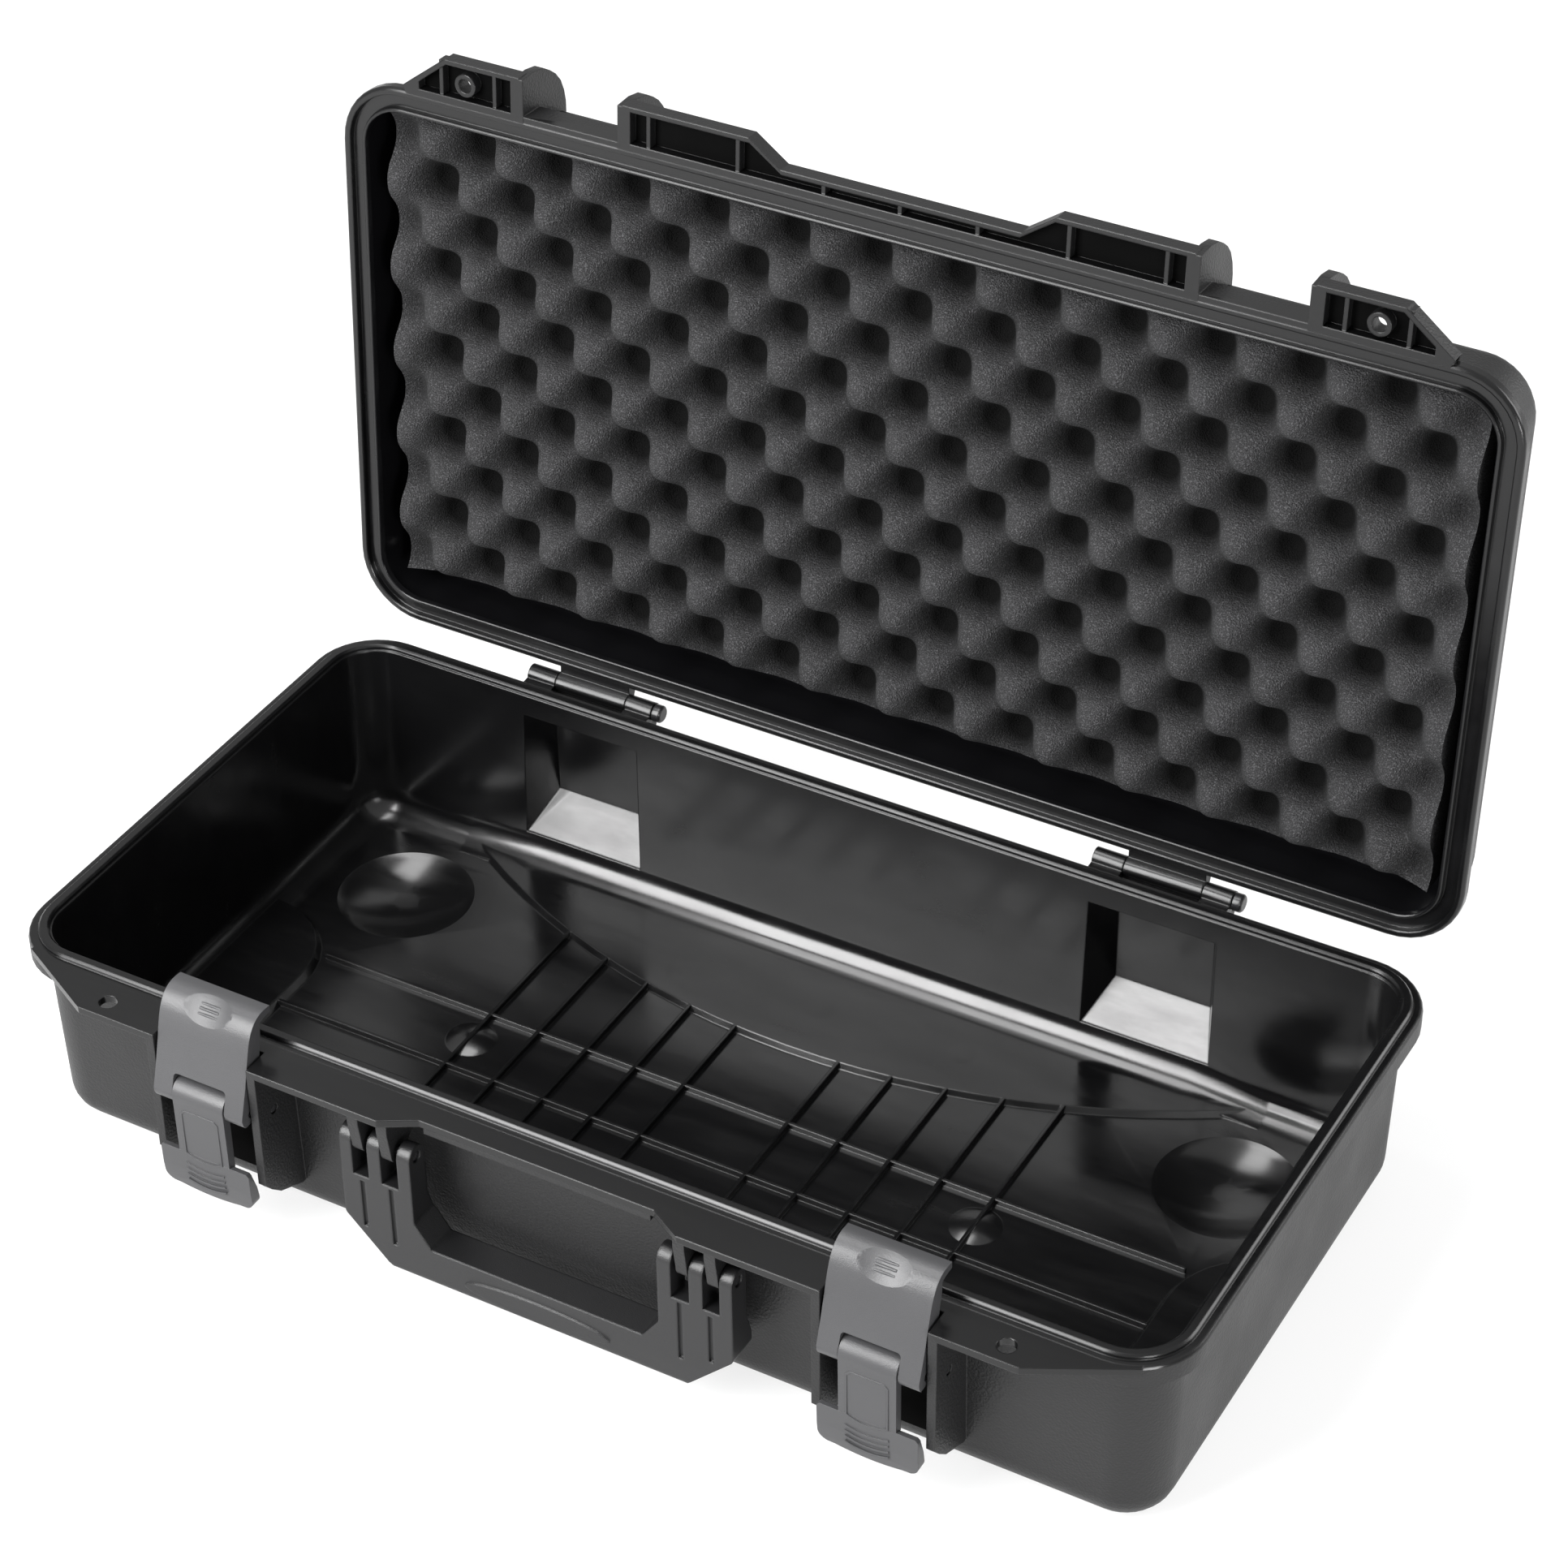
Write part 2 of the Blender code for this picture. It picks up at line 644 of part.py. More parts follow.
def lid_fin(centre_low):
    """Upright fin beside a latch, curving back into the lid wall."""
    profile = [(-137.0, LID_FLANGE_BOTTOM), (-137.6, 94.8), (-136.5, 101.8), (-134.0, 106.2)]
    profile += [(-131.0, 110.4), (-127.0, 114.0), (-122.0, 116.4), (-117.0, 117.6)]
    profile += [(-109.0, 118.0), (-113.2, 109.0), (-113.8, 90.8)]
    profile += [(-118.5, 90.0), (-118.5, LID_FLANGE_BOTTOM)]
    return prism("lid_fin", profile, "x", centre_low, centre_low + FIN_THICKNESS)


def lid_catch(centre):
    """Ledge between the fins that the latch hook pulls down on."""
    profile = [(CATCH_FRONT, LID_FLANGE_BOTTOM + 0.1), (CATCH_FRONT, CATCH_TOP - 1.0)]
    profile += [(CATCH_FRONT + 1.0, CATCH_TOP), (-113.9, CATCH_TOP), (-113.9, 90.9)]
    profile += [(-118.4, 90.1), (-118.4, LID_FLANGE_BOTTOM + 0.1)]
    half = WELL_HALF + 1.0
    return prism("lid_catch", profile, "x", centre - half, centre + half)


def lid_knuckle(centre):
    """Arm and eye of the hinge on the lid."""
    profile = [(118.0, 86.85), (118.0, 91.6), (123.4, 91.6)]
    profile += arc((HINGE_Y, HINGE_Z), KNUCKLE_RADIUS, 58.0, -187.9, 18)
    low, high = LID_KNUCKLE
    return prism("lid_knuckle", profile, "x", centre + low, centre + high)


def lid_shell(material):
    additions = lid_flange()
    cover = combine(lid_cover(), additions, "UNION")
    cover = combine(cover, lid_pockets(), "DIFFERENCE")
    additions = lid_flange_ribs()
    for side in (-1, 1):
        additions.append(lid_boss(side))
        additions.append(lid_fin(side * LATCH_X - WELL_HALF - FIN_THICKNESS))
        additions.append(lid_fin(side * LATCH_X + WELL_HALF))
        additions.append(lid_catch(side * LATCH_X))
        additions.append(lid_knuckle(side * HINGE_X))
    cover = combine(cover, additions, "UNION")
    cuts = []
    for side in (-1, 1):
        hole = circle((side * PADLOCK_HOLE_X, PADLOCK_HOLE_Y), BOSS_HOLE_RADIUS, 24)
        cuts.append(prism("boss_hole", hole, "z", 80.0, 96.0))
        middle = side * HINGE_X
        bore = HINGE_PIN_RADIUS + GAP
        cuts.append(rod("lid_bore", HINGE_Y, HINGE_Z, bore, middle - 22.0, middle + 18.0))
    cover = combine(cover, cuts, "DIFFERENCE")
    pivot = (0.0, HINGE_Y, HINGE_Z)
    return settle(cover, "lid_shell", pivot, material, -LID_OPEN_ANGLE)


def lid_foam(material):
    low_x = -FOAM_HALF_X
    low_y = FOAM_CENTRE_Y - FOAM_HALF_Y
    high_y = FOAM_CENTRE_Y + FOAM_HALF_Y
    corners = [(low_x, low_y), (-low_x, low_y), (-low_x, high_y), (low_x, high_y)]
    outline = rounded_outline([(across, along, FOAM_CORNER) for across, along in corners], 6)
    pad = prism("foam", outline, "z", FOAM_BOTTOM, FOAM_TOP)
    return settle(pad, "lid_foam", (0.0, HINGE_Y, HINGE_Z), material, -LID_OPEN_ANGLE)


# ---------------------------------------------------------------- handle

def carry_handle(material):
    """Drop handle with three eyes each side and a wide grip."""
    pivot = (HANDLE_PIN_Y, HANDLE_PIN_Z)
    top = HANDLE_PIN_Z + HANDLE_LUG_RADIUS + 1.0
    right = [(45.0, 27.6, 2.0), (52.0, 37.6, 4.0), (52.0, top, 0.0), (82.5, top, 0.0)]
    right += [(82.5, 31.3, 3.0), (61.7, 10.3, 5.0)]
    left = [(-across, height, radius) for across, height, radius in reversed(right)]
    front = rounded_outline(right + left, 4)
    body = prism("handle", front, "y", -140.0, -110.0)
    side = arc(pivot, HANDLE_LUG_RADIUS, 180.0, 0.0, 12)
    side += [(HANDLE_PIN_Y + HANDLE_LUG_RADIUS, 47.0), (HANDLE_BACK, 36.0)]
    side += arc((HANDLE_BACK - 3.0, 13.3), 3.0, 0.0, -90.0, 3)
    side += arc((HANDLE_FRONT + 3.0, 13.3), 3.0, 270.0, 180.0, 3)
    body = combine(body, [prism("handle_side", side, "x", -90.0, 90.0)], "INTERSECT")
    cuts = []
    for sign in (-1, 1):
        for low, high in ((57.5, 65.0), (70.5, 77.5)):
            edges = sorted((sign * low, sign * high))
            cuts.append(box("eye_slot", (edges[0], -140.0, 52.1), (edges[1], -110.0, 80.0)))
        middle = sign * 67.0
        bore = HANDLE_PIN_RADIUS + GAP
        cuts.append(rod("eye_bore", HANDLE_PIN_Y, HANDLE_PIN_Z, bore, middle - 20.0, middle + 20.0))
        for centre, low, high in ((73.6, 27.4, 49.8), (61.0, 23.4, 50.8)):
            edge = sign * centre
            groove_low = (edge - 1.0, HANDLE_FRONT - 2.0, low)
            groove_high = (edge + 1.0, HANDLE_FRONT + 1.2, high)
            cuts.append(box("groove", groove_low, groove_high))
    body = combine(body, cuts, "DIFFERENCE")
    oval = [(31.0 * math.cos(turn * math.pi / 16.0), 17.6 + 4.6 * math.sin(turn * math.pi / 16.0))
            for turn in range(32)]
    badge = prism("grip_oval", oval, "y", HANDLE_FRONT - 0.6, HANDLE_FRONT + 2.0)
    body = combine(body, [badge], "UNION")
    return settle(body, "carry_handle", (0.0, HANDLE_PIN_Y, HANDLE_PIN_Z), material)


def handle_pin(name, side, material):
    edges = sorted((side * 52.6, side * 82.0))
    pin = rod("pin", HANDLE_PIN_Y, HANDLE_PIN_Z, HANDLE_PIN_RADIUS, edges[0], edges[1])
    return settle(pin, name, (side * 67.3, HANDLE_PIN_Y, HANDLE_PIN_Z), material)


# ---------------------------------------------------------------- latches

def sagging_arc(half, level, sag):
    """Points from left to right on an arc whose middle hangs below its ends."""
    points = []
    for step in range(9):
        share = step / 4.0 - 1.0
        points.append((half * share, level - sag * (1.0 - share ** 2)))
    return points


def lever_foot(centre):
    """Wide foot of the pull tab, thin at its shoulders, with a bowed lower edge."""
    low = LEVER_FOOT_BOTTOM
    high = LEVER_FOOT_TOP
    side = [(-140.6, high), (-140.4, 28.0), (-139.8, 22.0), (-139.0, low - 1.5), (-134.3, low - 1.5)]
    side += [(-136.2, 29.0), (-138.5, high - 2.0), (-138.6, high)]
    foot = prism("foot", side, "x", centre - 25.0, centre + 25.0)
    half = LEVER_FOOT_HALF
    outline = arc((-half + 5.0, low + 5.0), 5.0, 180.0, 250.0, 5)
    outline += sagging_arc(half - 6.8, low + 0.1, 1.3)
    outline += arc((half - 5.0, low + 5.0), 5.0, 290.0, 360.0, 5)
    outline += [(half, high - 1.5), (half - 1.0, high - 0.4), (-half + 1.0, high - 0.4)]
    outline += [(-half, high - 1.5)]
    outline = [(centre + across, height) for across, height in outline]
    return combine(foot, [prism("foot_front", outline, "y", -145.0, -130.0)], "INTERSECT")


def panel_outline(centre, inset):
    """Outline of the neck's panel, moved in by inset."""
    half = LEVER_PANEL_HALF - inset
    top = LEVER_PANEL_TOP - inset
    outline = sagging_arc(half, LEVER_PANEL_END + inset, LEVER_PANEL_SAG)
    outline += [(half, top - 1.5), (half - 1.5, top), (1.5 - half, top), (-half, top - 1.5)]
    return [(centre + across, height) for across, height in outline]


def lever_panel_line(centre):
    """Fine raised line round the panel on the front of the neck."""
    front = LEVER_NECK_FRONT - LEVER_PANEL_RISE
    line = prism("panel", panel_outline(centre, 0.0), "y", front, LEVER_NECK_FRONT + 1.0)
    inner = prism("panel_inner", panel_outline(centre, LEVER_PANEL_LINE), "y", -145.0, -130.0)
    return combine(line, [inner], "DIFFERENCE")


def grip_ridge(centre, level):
    """One curved ridge on the foot."""
    upper = sagging_arc(GRIP_RIDGE_HALF, level, GRIP_RIDGE_SAG)
    lower = sagging_arc(GRIP_RIDGE_HALF, level - GRIP_RIDGE_WIDTH, GRIP_RIDGE_SAG)
    outline = [(centre + across, height) for across, height in upper + lower[::-1]]
    return prism("grip_ridge", outline, "y", -140.9, -138.8)


def latch_lever(name, centre, material):
    """Pull tab with a barrel for the hook pin and an ear for the base pin."""
    hook_pin = (HOOK_PIN_Y, HOOK_PIN_Z)
    base_pin = (BASE_PIN_Y, BASE_PIN_Z)
    profile = [(LEVER_NECK_BACK, 36.0), (LEVER_NECK_FRONT, 36.0), (-140.7, HOOK_PIN_Z - 5.6)]
    profile += arc(hook_pin, LEVER_BARREL_RADIUS, 190.0, 61.2, 12)
    profile += arc(base_pin, LEVER_EAR_RADIUS, 61.2, -89.3, 10)
    profile += [(LEVER_NECK_BACK, HOOK_PIN_Z - 6.4)]
    lever = prism("lever", profile, "x", centre - LEVER_HALF, centre + LEVER_HALF)
    lever = combine(lever, [lever_foot(centre)], "UNION")
    reach = LEVER_HALF + 2.0
    low = centre - reach
    high = centre + reach
    cuts = [rod("hook_bore", HOOK_PIN_Y, HOOK_PIN_Z, HOOK_PIN_RADIUS + GAP, low, high)]
    cuts.append(rod("base_bore", BASE_PIN_Y, BASE_PIN_Z, BASE_PIN_RADIUS + GAP, low, high))
    lever = combine(lever, cuts, "DIFFERENCE")
    ridges = [lever_panel_line(centre)]
    for step in range(GRIP_RIDGE_COUNT):
        ridges.append(grip_ridge(centre, GRIP_RIDGE_TOP - GRIP_RIDGE_STEP * step))
    lever = combine(lever, ridges, "UNION")
    return settle(lever, name, (centre, BASE_PIN_Y, BASE_PIN_Z), material)


def hook_frames():
    """Place and outward direction at even steps along the hook's outer curve."""
    curve = [Vector(point) for point in smooth_curve(HOOK_CURVE, 8)]
    frames = []
    for index in range(1, len(curve) - 1):
        way = (curve[index + 1] - curve[index - 1]).normalized()
        frames.append((curve[index], Vector((-way.y, way.x)) * -1.0))
    return frames


def on_hook(frames, distance, height):
    """Point a distance along the outer curve from the dish's middle and a height outside it."""
    walked = 0.0
    index = int(DISH_STATION * 8)
    step = 1 if distance > 0.0 else -1
    while 0 < index + step < len(frames) - 1:
        length = (frames[index + step][0] - frames[index][0]).length
        if walked + length >= abs(distance):
            break
        walked += length
        index += step
    here, outward = frames[index]
    after, turned = frames[index + step]
    share = (abs(distance) - walked) / (after - here).length
    place = here.lerp(after, share) + outward.lerp(turned, share).normalized() * height
    return (place.x, place.y)


def hook_dish(centre, frames):
    """Cutter for the shallow oval thumb dish that follows the hook's curve."""
    sides = 28
    rings = []
    levels = ((1.0, 4.0), (1.0, 0.0), (0.86, None), (0.68, None), (0.46, None), (0.22, None))
    for share, level in levels:
        ring = []
        for index in range(sides):
            turn = 2.0 * math.pi * index / sides
            height = -DISH_DEPTH * (1.0 - share ** 2) if level is None else level
            along = DISH_HALF_LENGTH * share * math.sin(turn)
            place = on_hook(frames, along, height)
            ring.append((centre + DISH_HALF_WIDTH * share * math.cos(turn), place[0], place[1]))
        rings.append(ring)
    return loft("dish", rings)


def latch_hook(name, centre, material):
    """Curved plate whose lip reaches over the catch on the lid."""
    hook_pin = (HOOK_PIN_Y, HOOK_PIN_Z)
    outer = smooth_curve(HOOK_CURVE, 4)
    leg = arc(hook_pin, HOOK_LEG_RADIUS, 172.0, 390.0, 16)
    inner = smooth_curve(HOOK_INNER_CURVE, 3)
    plate = prism("hook", outer + leg + inner, "x", centre - HOOK_HALF - 3.0, centre + HOOK_HALF + 3.0)
    half = HOOK_HALF
    foot = HOOK_PIN_Z - HOOK_LEG_RADIUS - 0.4
    corners = [(-half, foot, HOOK_CORNER), (half, foot, HOOK_CORNER), (half, 107.0, 0.0), (-half, 107.0, 0.0)]
    corners = [(centre + across, height, radius) for across, height, radius in corners]
    front = prism("hook_front", rounded_outline(corners, 4), "y", -150.0, -105.0)
    plate = combine(plate, [front], "INTERSECT")
    web = [(-136.4, 75.4), (-130.0, 70.6), (-127.2, 78.5), (-125.6, 88.0), (-124.2, 95.0)]
    web += [(-123.8, 101.5), (-127.4, 100.2), (-130.0, 96.2), (-133.2, 85.7)]
    additions = []
    for low, high in ((-half + 0.1, -half + 2.2), (half - 2.2, half - 0.1)):
        additions.append(prism("hook_return", web, "x", centre + low, centre + high))
    plate = combine(plate, additions, "UNION")
    corners = [(-NOTCH_HALF, 50.0, 0.0), (NOTCH_HALF, 50.0, 0.0), (NOTCH_HALF, NOTCH_TOP, NOTCH_CORNER)]
    corners += [(-NOTCH_HALF, NOTCH_TOP, NOTCH_CORNER)]
    corners = [(centre + across, height, radius) for across, height, radius in corners]
    notch = prism("notch", rounded_outline(corners, 4), "y", -150.0, -120.0)
    reach = HOOK_HALF + 2.0
    bore = rod("hook_bore", HOOK_PIN_Y, HOOK_PIN_Z, HOOK_PIN_RADIUS + GAP, centre - reach, centre + reach)
    frames = hook_frames()
    plate = combine(plate, [notch, bore, hook_dish(centre, frames)], "DIFFERENCE")
    ridges = []
    for distance in DISH_RIDGES:
        place = on_hook(frames, distance, -DISH_DEPTH)
        low = centre - DISH_RIDGE_HALF
        high = centre + DISH_RIDGE_HALF
        ridges.append(rod("dish_ridge", place[0], place[1], DISH_RIDGE_RADIUS, low, high, 12))
    plate = combine(plate, ridges, "UNION")
    return settle(plate, name, (centre, HOOK_PIN_Y, HOOK_PIN_Z), material)


def latch_base_pin(name, centre, material):
    reach = WELL_HALF + CHEEK_THICKNESS - 0.3
    pin = rod("pin", BASE_PIN_Y, BASE_PIN_Z, BASE_PIN_RADIUS, centre - reach, centre + reach)
    return settle(pin, name, (centre, BASE_PIN_Y, BASE_PIN_Z), material)


def latch_hook_pin(name, centre, material):
    reach = HOOK_HALF - 0.4
    pin = rod("pin", HOOK_PIN_Y, HOOK_PIN_Z, HOOK_PIN_RADIUS, centre - reach, centre + reach)
    return settle(pin, name, (centre, BASE_PIN_Y, BASE_PIN_Z), material)


# ---------------------------------------------------------------- hinge pins

def hinge_pin(name, centre, material):
    """Headed pin through the three knuckles of one hinge."""
    low, high = HINGE_HEAD
    axis = (HINGE_Y, HINGE_Z)
    rings = []
    stations = ((-31.4, HINGE_PIN_RADIUS), (low, HINGE_PIN_RADIUS), (low, HINGE_HEAD_RADIUS))
    stations += ((high - 0.8, HINGE_HEAD_RADIUS), (high, HINGE_HEAD_RADIUS - 0.8))
    for station, radius in stations:
        rings.append(lift(circle(axis, radius, 24), "x", centre + station))
    return settle(loft("pin", rings), name, (centre, HINGE_Y, HINGE_Z), material)


def main():
    clear_scene()
    base_shell(make_material("base_plastic", (0.028, 0.028, 0.030), 0.42, 0.0))
    lid_shell(make_material("lid_plastic", (0.028, 0.028, 0.030), 0.40, 0.0))
    lid_foam(make_material("foam", (0.032, 0.033, 0.036), 0.95, 0.0))
    carry_handle(make_material("handle_plastic", (0.030, 0.030, 0.032), 0.45, 0.0))
    latch_plastic = make_material("latch_plastic", (0.040, 0.040, 0.043), 0.50, 0.0)
    pin_plastic = make_material("pin_plastic", (0.020, 0.020, 0.022), 0.30, 0.0)
    hinge_plastic = make_material("hinge_pin_plastic", (0.022, 0.022, 0.024), 0.22, 0.0)
    for word, side in (("left", -1), ("right", 1)):
        centre = side * LATCH_X
        handle_pin("handle_pin_" + word, side, pin_plastic)
        latch_lever("latch_lever_" + word, centre, latch_plastic)
        latch_hook("latch_hook_" + word, centre, latch_plastic)
        latch_base_pin("latch_base_pin_" + word, centre, pin_plastic)
        latch_hook_pin("latch_hook_pin_" + word, centre, pin_plastic)
        hinge_pin("hinge_pin_" + word, side * HINGE_X, hinge_plastic)


main()
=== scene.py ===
"""Looks of the open equipment case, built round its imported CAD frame."""

import math

import bmesh
import bpy
import numpy as np
from mathutils import Matrix, Vector

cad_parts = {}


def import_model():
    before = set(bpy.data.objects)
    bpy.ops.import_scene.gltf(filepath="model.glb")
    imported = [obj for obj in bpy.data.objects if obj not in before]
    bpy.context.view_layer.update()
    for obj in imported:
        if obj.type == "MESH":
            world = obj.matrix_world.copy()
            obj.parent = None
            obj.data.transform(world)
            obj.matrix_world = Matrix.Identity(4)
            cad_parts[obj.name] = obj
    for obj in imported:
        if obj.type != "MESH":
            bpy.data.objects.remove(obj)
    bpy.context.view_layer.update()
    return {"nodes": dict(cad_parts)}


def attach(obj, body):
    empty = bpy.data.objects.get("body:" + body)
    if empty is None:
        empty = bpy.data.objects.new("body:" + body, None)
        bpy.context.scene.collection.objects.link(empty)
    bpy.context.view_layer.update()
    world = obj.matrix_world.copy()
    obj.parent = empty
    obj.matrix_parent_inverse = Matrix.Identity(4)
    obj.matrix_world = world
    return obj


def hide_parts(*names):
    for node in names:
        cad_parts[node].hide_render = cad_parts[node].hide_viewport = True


MM = 0.001

# Camera: where it stands and how it is turned, in metres and degrees
CAMERA_PLACE = (0.60914, -1.01567, 1.06123)
CAMERA_AZIMUTH = 29.700
CAMERA_ELEVATION = 37.041
CAMERA_ROLL = -0.707
CAMERA_LENS = 93.50
CAMERA_SHIFT = (0.00085, 0.00318)

# Case outline, millimetres
CASE_WIDTH = 490.0
CASE_DEPTH = 240.8
CORNER_RADIUS = 27.6
HINGE = (126.9, 86.3)
LID_OPEN = -93.5

# Latch wells and hinge pockets, millimetres: distance from the middle, half width and reach
LATCH_X = 140.4
LATCH_WELL_HALF = 21.5
LATCH_WELL_Y = (-124.0, -105.0)
POCKET_X = 129.0
POCKET_HALF = 30.0
POCKET_Y = (108.5, 126.3)
POCKET_Z = (9.0, 77.5)

# Finishes of a shell, in the order of its materials: grained outside, polished inside,
# satin rim and flange, and near-black painted shade in the wells behind the latches and under the lid's front
# flange
GRAINED = 0
POLISHED = 1
RIM = 2
SHADED_WELL = 3

# Faces that meet at more than this, in degrees, meet at an edge
CREASE = 18.0

# Round fields of the tub floor, millimetres: corner bowls, low domes and faint ejector marks
BOWL_PLACE = (187.0, 62.0)
BOWL_RADIUS = 28.6
BOWL_RISE = -5.5
DOME_PLACE = (112.9, -3.0)
DOME_RADIUS = 10.4
DOME_RISE = 0.2
EJECTOR_RADIUS = 6.0
EJECTOR_RISE = 0.1
EJECTOR_MARKS = ((-215.0, 20.0), (-60.0, 72.0), (2.0, 78.0), (64.0, 80.0), (160.0, -70.0))

# Foam, millimetres in the closed lid
FOAM_HALF_X = 228.0
FOAM_LOW_Y = -109.0
FOAM_HIGH_Y = 102.0
FOAM_BACK = 116.5
FOAM_PEAK = 91.4
FOAM_VALLEY = 110.4
FOAM_PITCH = 34.8
FOAM_ROW = 18.85
FOAM_PHASE = (-209.0, -76.7)
FOAM_FLAT_EDGE = 14.0
FOAM_COLUMNS = 264
FOAM_ROWS = 126


# ------------------------------------------------------------------ node helpers

def new_material(name):
    """A material with nothing but a Principled shader, its node tree and that shader."""
    material = bpy.data.materials.new(name)
    material.use_nodes = True
    tree = material.node_tree
    tree.nodes.clear()
    out = tree.nodes.new("ShaderNodeOutputMaterial")
    shader = tree.nodes.new("ShaderNodeBsdfPrincipled")
    tree.links.new(shader.outputs["BSDF"], out.inputs["Surface"])
    return material, tree, shader


def place(tree, scale=(1.0, 1.0, 1.0)):
    """Object coordinates, scaled along each axis."""
    coords = tree.nodes.new("ShaderNodeTexCoord")
    mapping = tree.nodes.new("ShaderNodeMapping")
    mapping.inputs["Scale"].default_value = scale
    tree.links.new(coords.outputs["Object"], mapping.inputs["Vector"])
    return mapping.outputs["Vector"]


def noise(tree, vector, scale, detail=3.0, roughness=0.5):
    node = tree.nodes.new("ShaderNodeTexNoise")
    node.inputs["Scale"].default_value = scale
    node.inputs["Detail"].default_value = detail
    node.inputs["Roughness"].default_value = roughness
    tree.links.new(vector, node.inputs["Vector"])
    return node.outputs["Fac"]


def cells(tree, vector, scale):
    node = tree.nodes.new("ShaderNodeTexVoronoi")
    node.inputs["Scale"].default_value = scale
    tree.links.new(vector, node.inputs["Vector"])
    return node.outputs["Distance"]


def span(tree, value, low, high, to_low, to_high):
    """Map one range of values to another, stopping at its ends."""
    node = tree.nodes.new("ShaderNodeMapRange")
    node.inputs["From Min"].default_value = low
    node.inputs["From Max"].default_value = high
    node.inputs["To Min"].default_value = to_low
    node.inputs["To Max"].default_value = to_high
    tree.links.new(value, node.inputs["Value"])
    return node.outputs["Result"]


def tint(tree, value, low, high, dark, light):
    """Colour that runs from dark to light as the value goes from low to high."""
    node = tree.nodes.new("ShaderNodeValToRGB")
    node.color_ramp.elements[0].position = low
    node.color_ramp.elements[0].color = (dark[0], dark[1], dark[2], 1.0)
    node.color_ramp.elements[1].position = high
    node.color_ramp.elements[1].color = (light[0], light[1], light[2], 1.0)
    tree.links.new(value, node.inputs["Fac"])
    return node.outputs["Color"]


def mix_colour(tree, share, first, second):
    """Blend a linked colour towards a fixed one."""
    node = tree.nodes.new("ShaderNodeMix")
    node.data_type = "RGBA"
    tree.links.new(share, node.inputs[0])
    tree.links.new(first, node.inputs[6])
    node.inputs[7].default_value = (second[0], second[1], second[2], 1.0)
    return node.outputs[2]


def bump(tree, height, distance, under=None):
    """Normal of a relief laid over another normal."""
    node = tree.nodes.new("ShaderNodeBump")
    node.inputs["Distance"].default_value = distance
    node.inputs["Strength"].default_value = 1.0
    tree.links.new(height, node.inputs["Height"])
    if under is not None:
        tree.links.new(under, node.inputs["Normal"])
    return node.outputs["Normal"]


def soft_edge(tree, radius):
    """Shading normal that rounds every sharp edge a little."""
    node = tree.nodes.new("ShaderNodeBevel")
    node.samples = 4
    node.inputs["Radius"].default_value = radius * MM
    return node.outputs["Normal"]


# ------------------------------------------------------------------ materials

def grained_plastic(name, shade, rough, grain=1000.0, depth=0.00010, edge=0.7):
    """Moulded plastic with a leather-like grain."""
    material, tree, shader = new_material(name)
    vector = place(tree)
    broad = noise(tree, vector, 9.0, 4.0)
    fine = noise(tree, vector, grain * 0.9, 3.0)
    pebble = cells(tree, vector, grain)
    colour = tint(tree, broad, 0.3, 0.7, [c * 0.88 for c in shade], [c * 1.12 for c in shade])
    tree.links.new(colour, shader.inputs["Base Color"])
    worn = span(tree, noise(tree, vector, 30.0, 5.0), 0.3, 0.7, rough - 0.04, rough + 0.05)
    tree.links.new(worn, shader.inputs["Roughness"])
    low = bump(tree, fine, depth * 0.6, soft_edge(tree, edge))
    tree.links.new(bump(tree, pebble, depth, low), shader.inputs["Normal"])
    shader.inputs["IOR"].default_value = 1.45
    return material


def smooth_plastic(name, shade, rough, wave=0.00003, shine=0.5):
    """Polished moulded plastic: faint flow waves and fine wiping marks."""
    material, tree, shader = new_material(name)
    vector = place(tree)
    broad = noise(tree, vector, 14.0, 3.0)
    colour = tint(tree, broad, 0.3, 0.7, [c * 0.85 for c in shade], [c * 1.15 for c in shade])
    tree.links.new(colour, shader.inputs["Base Color"])
    smear = noise(tree, place(tree, (1.0, 6.0, 2.0)), 22.0, 6.0, 0.6)
    worn = span(tree, smear, 0.3, 0.75, rough * 0.75, rough * 1.5)
    tree.links.new(worn, shader.inputs["Roughness"])
    flow = noise(tree, vector, 38.0, 2.0)
    tree.links.new(bump(tree, flow, wave, soft_edge(tree, 0.7)), shader.inputs["Normal"])
    shader.inputs["IOR"].default_value = 1.45
    shader.inputs["Specular IOR Level"].default_value = shine
    return material


def round_relief(tree, vector, centre, radius, rise):
    """Height of a ball's slice over a round field of the floor, in metres."""
    shift = tree.nodes.new("ShaderNodeVectorMath")
    shift.operation = "SUBTRACT"
    tree.links.new(vector, shift.inputs[0])
    shift.inputs[1].default_value = (centre[0] * MM, centre[1] * MM, 0.0)
    flat = tree.nodes.new("ShaderNodeVectorMath")
    flat.operation = "MULTIPLY"
    tree.links.new(shift.outputs["Vector"], flat.inputs[0])
    flat.inputs[1].default_value = (1.0, 1.0, 0.0)
    size = tree.nodes.new("ShaderNodeVectorMath")
    size.operation = "LENGTH"
    tree.links.new(flat.outputs["Vector"], size.inputs[0])
    share = span(tree, size.outputs["Value"], 0.0, radius * MM, 0.0, 1.0)
    square = tree.nodes.new("ShaderNodeMath")
    square.operation = "MULTIPLY"
    tree.links.new(share, square.inputs[0])
    tree.links.new(share, square.inputs[1])
    return span(tree, square.outputs["Value"], 0.0, 1.0, rise * MM, 0.0)


def add(tree, values):
    """Sum of linked values."""
    total = values[0]
    for value in values[1:]:
        node = tree.nodes.new("ShaderNodeMath")
        node.operation = "ADD"
        tree.links.new(total, node.inputs[0])
        tree.links.new(value, node.inputs[1])
        total = node.outputs["Value"]
    return total


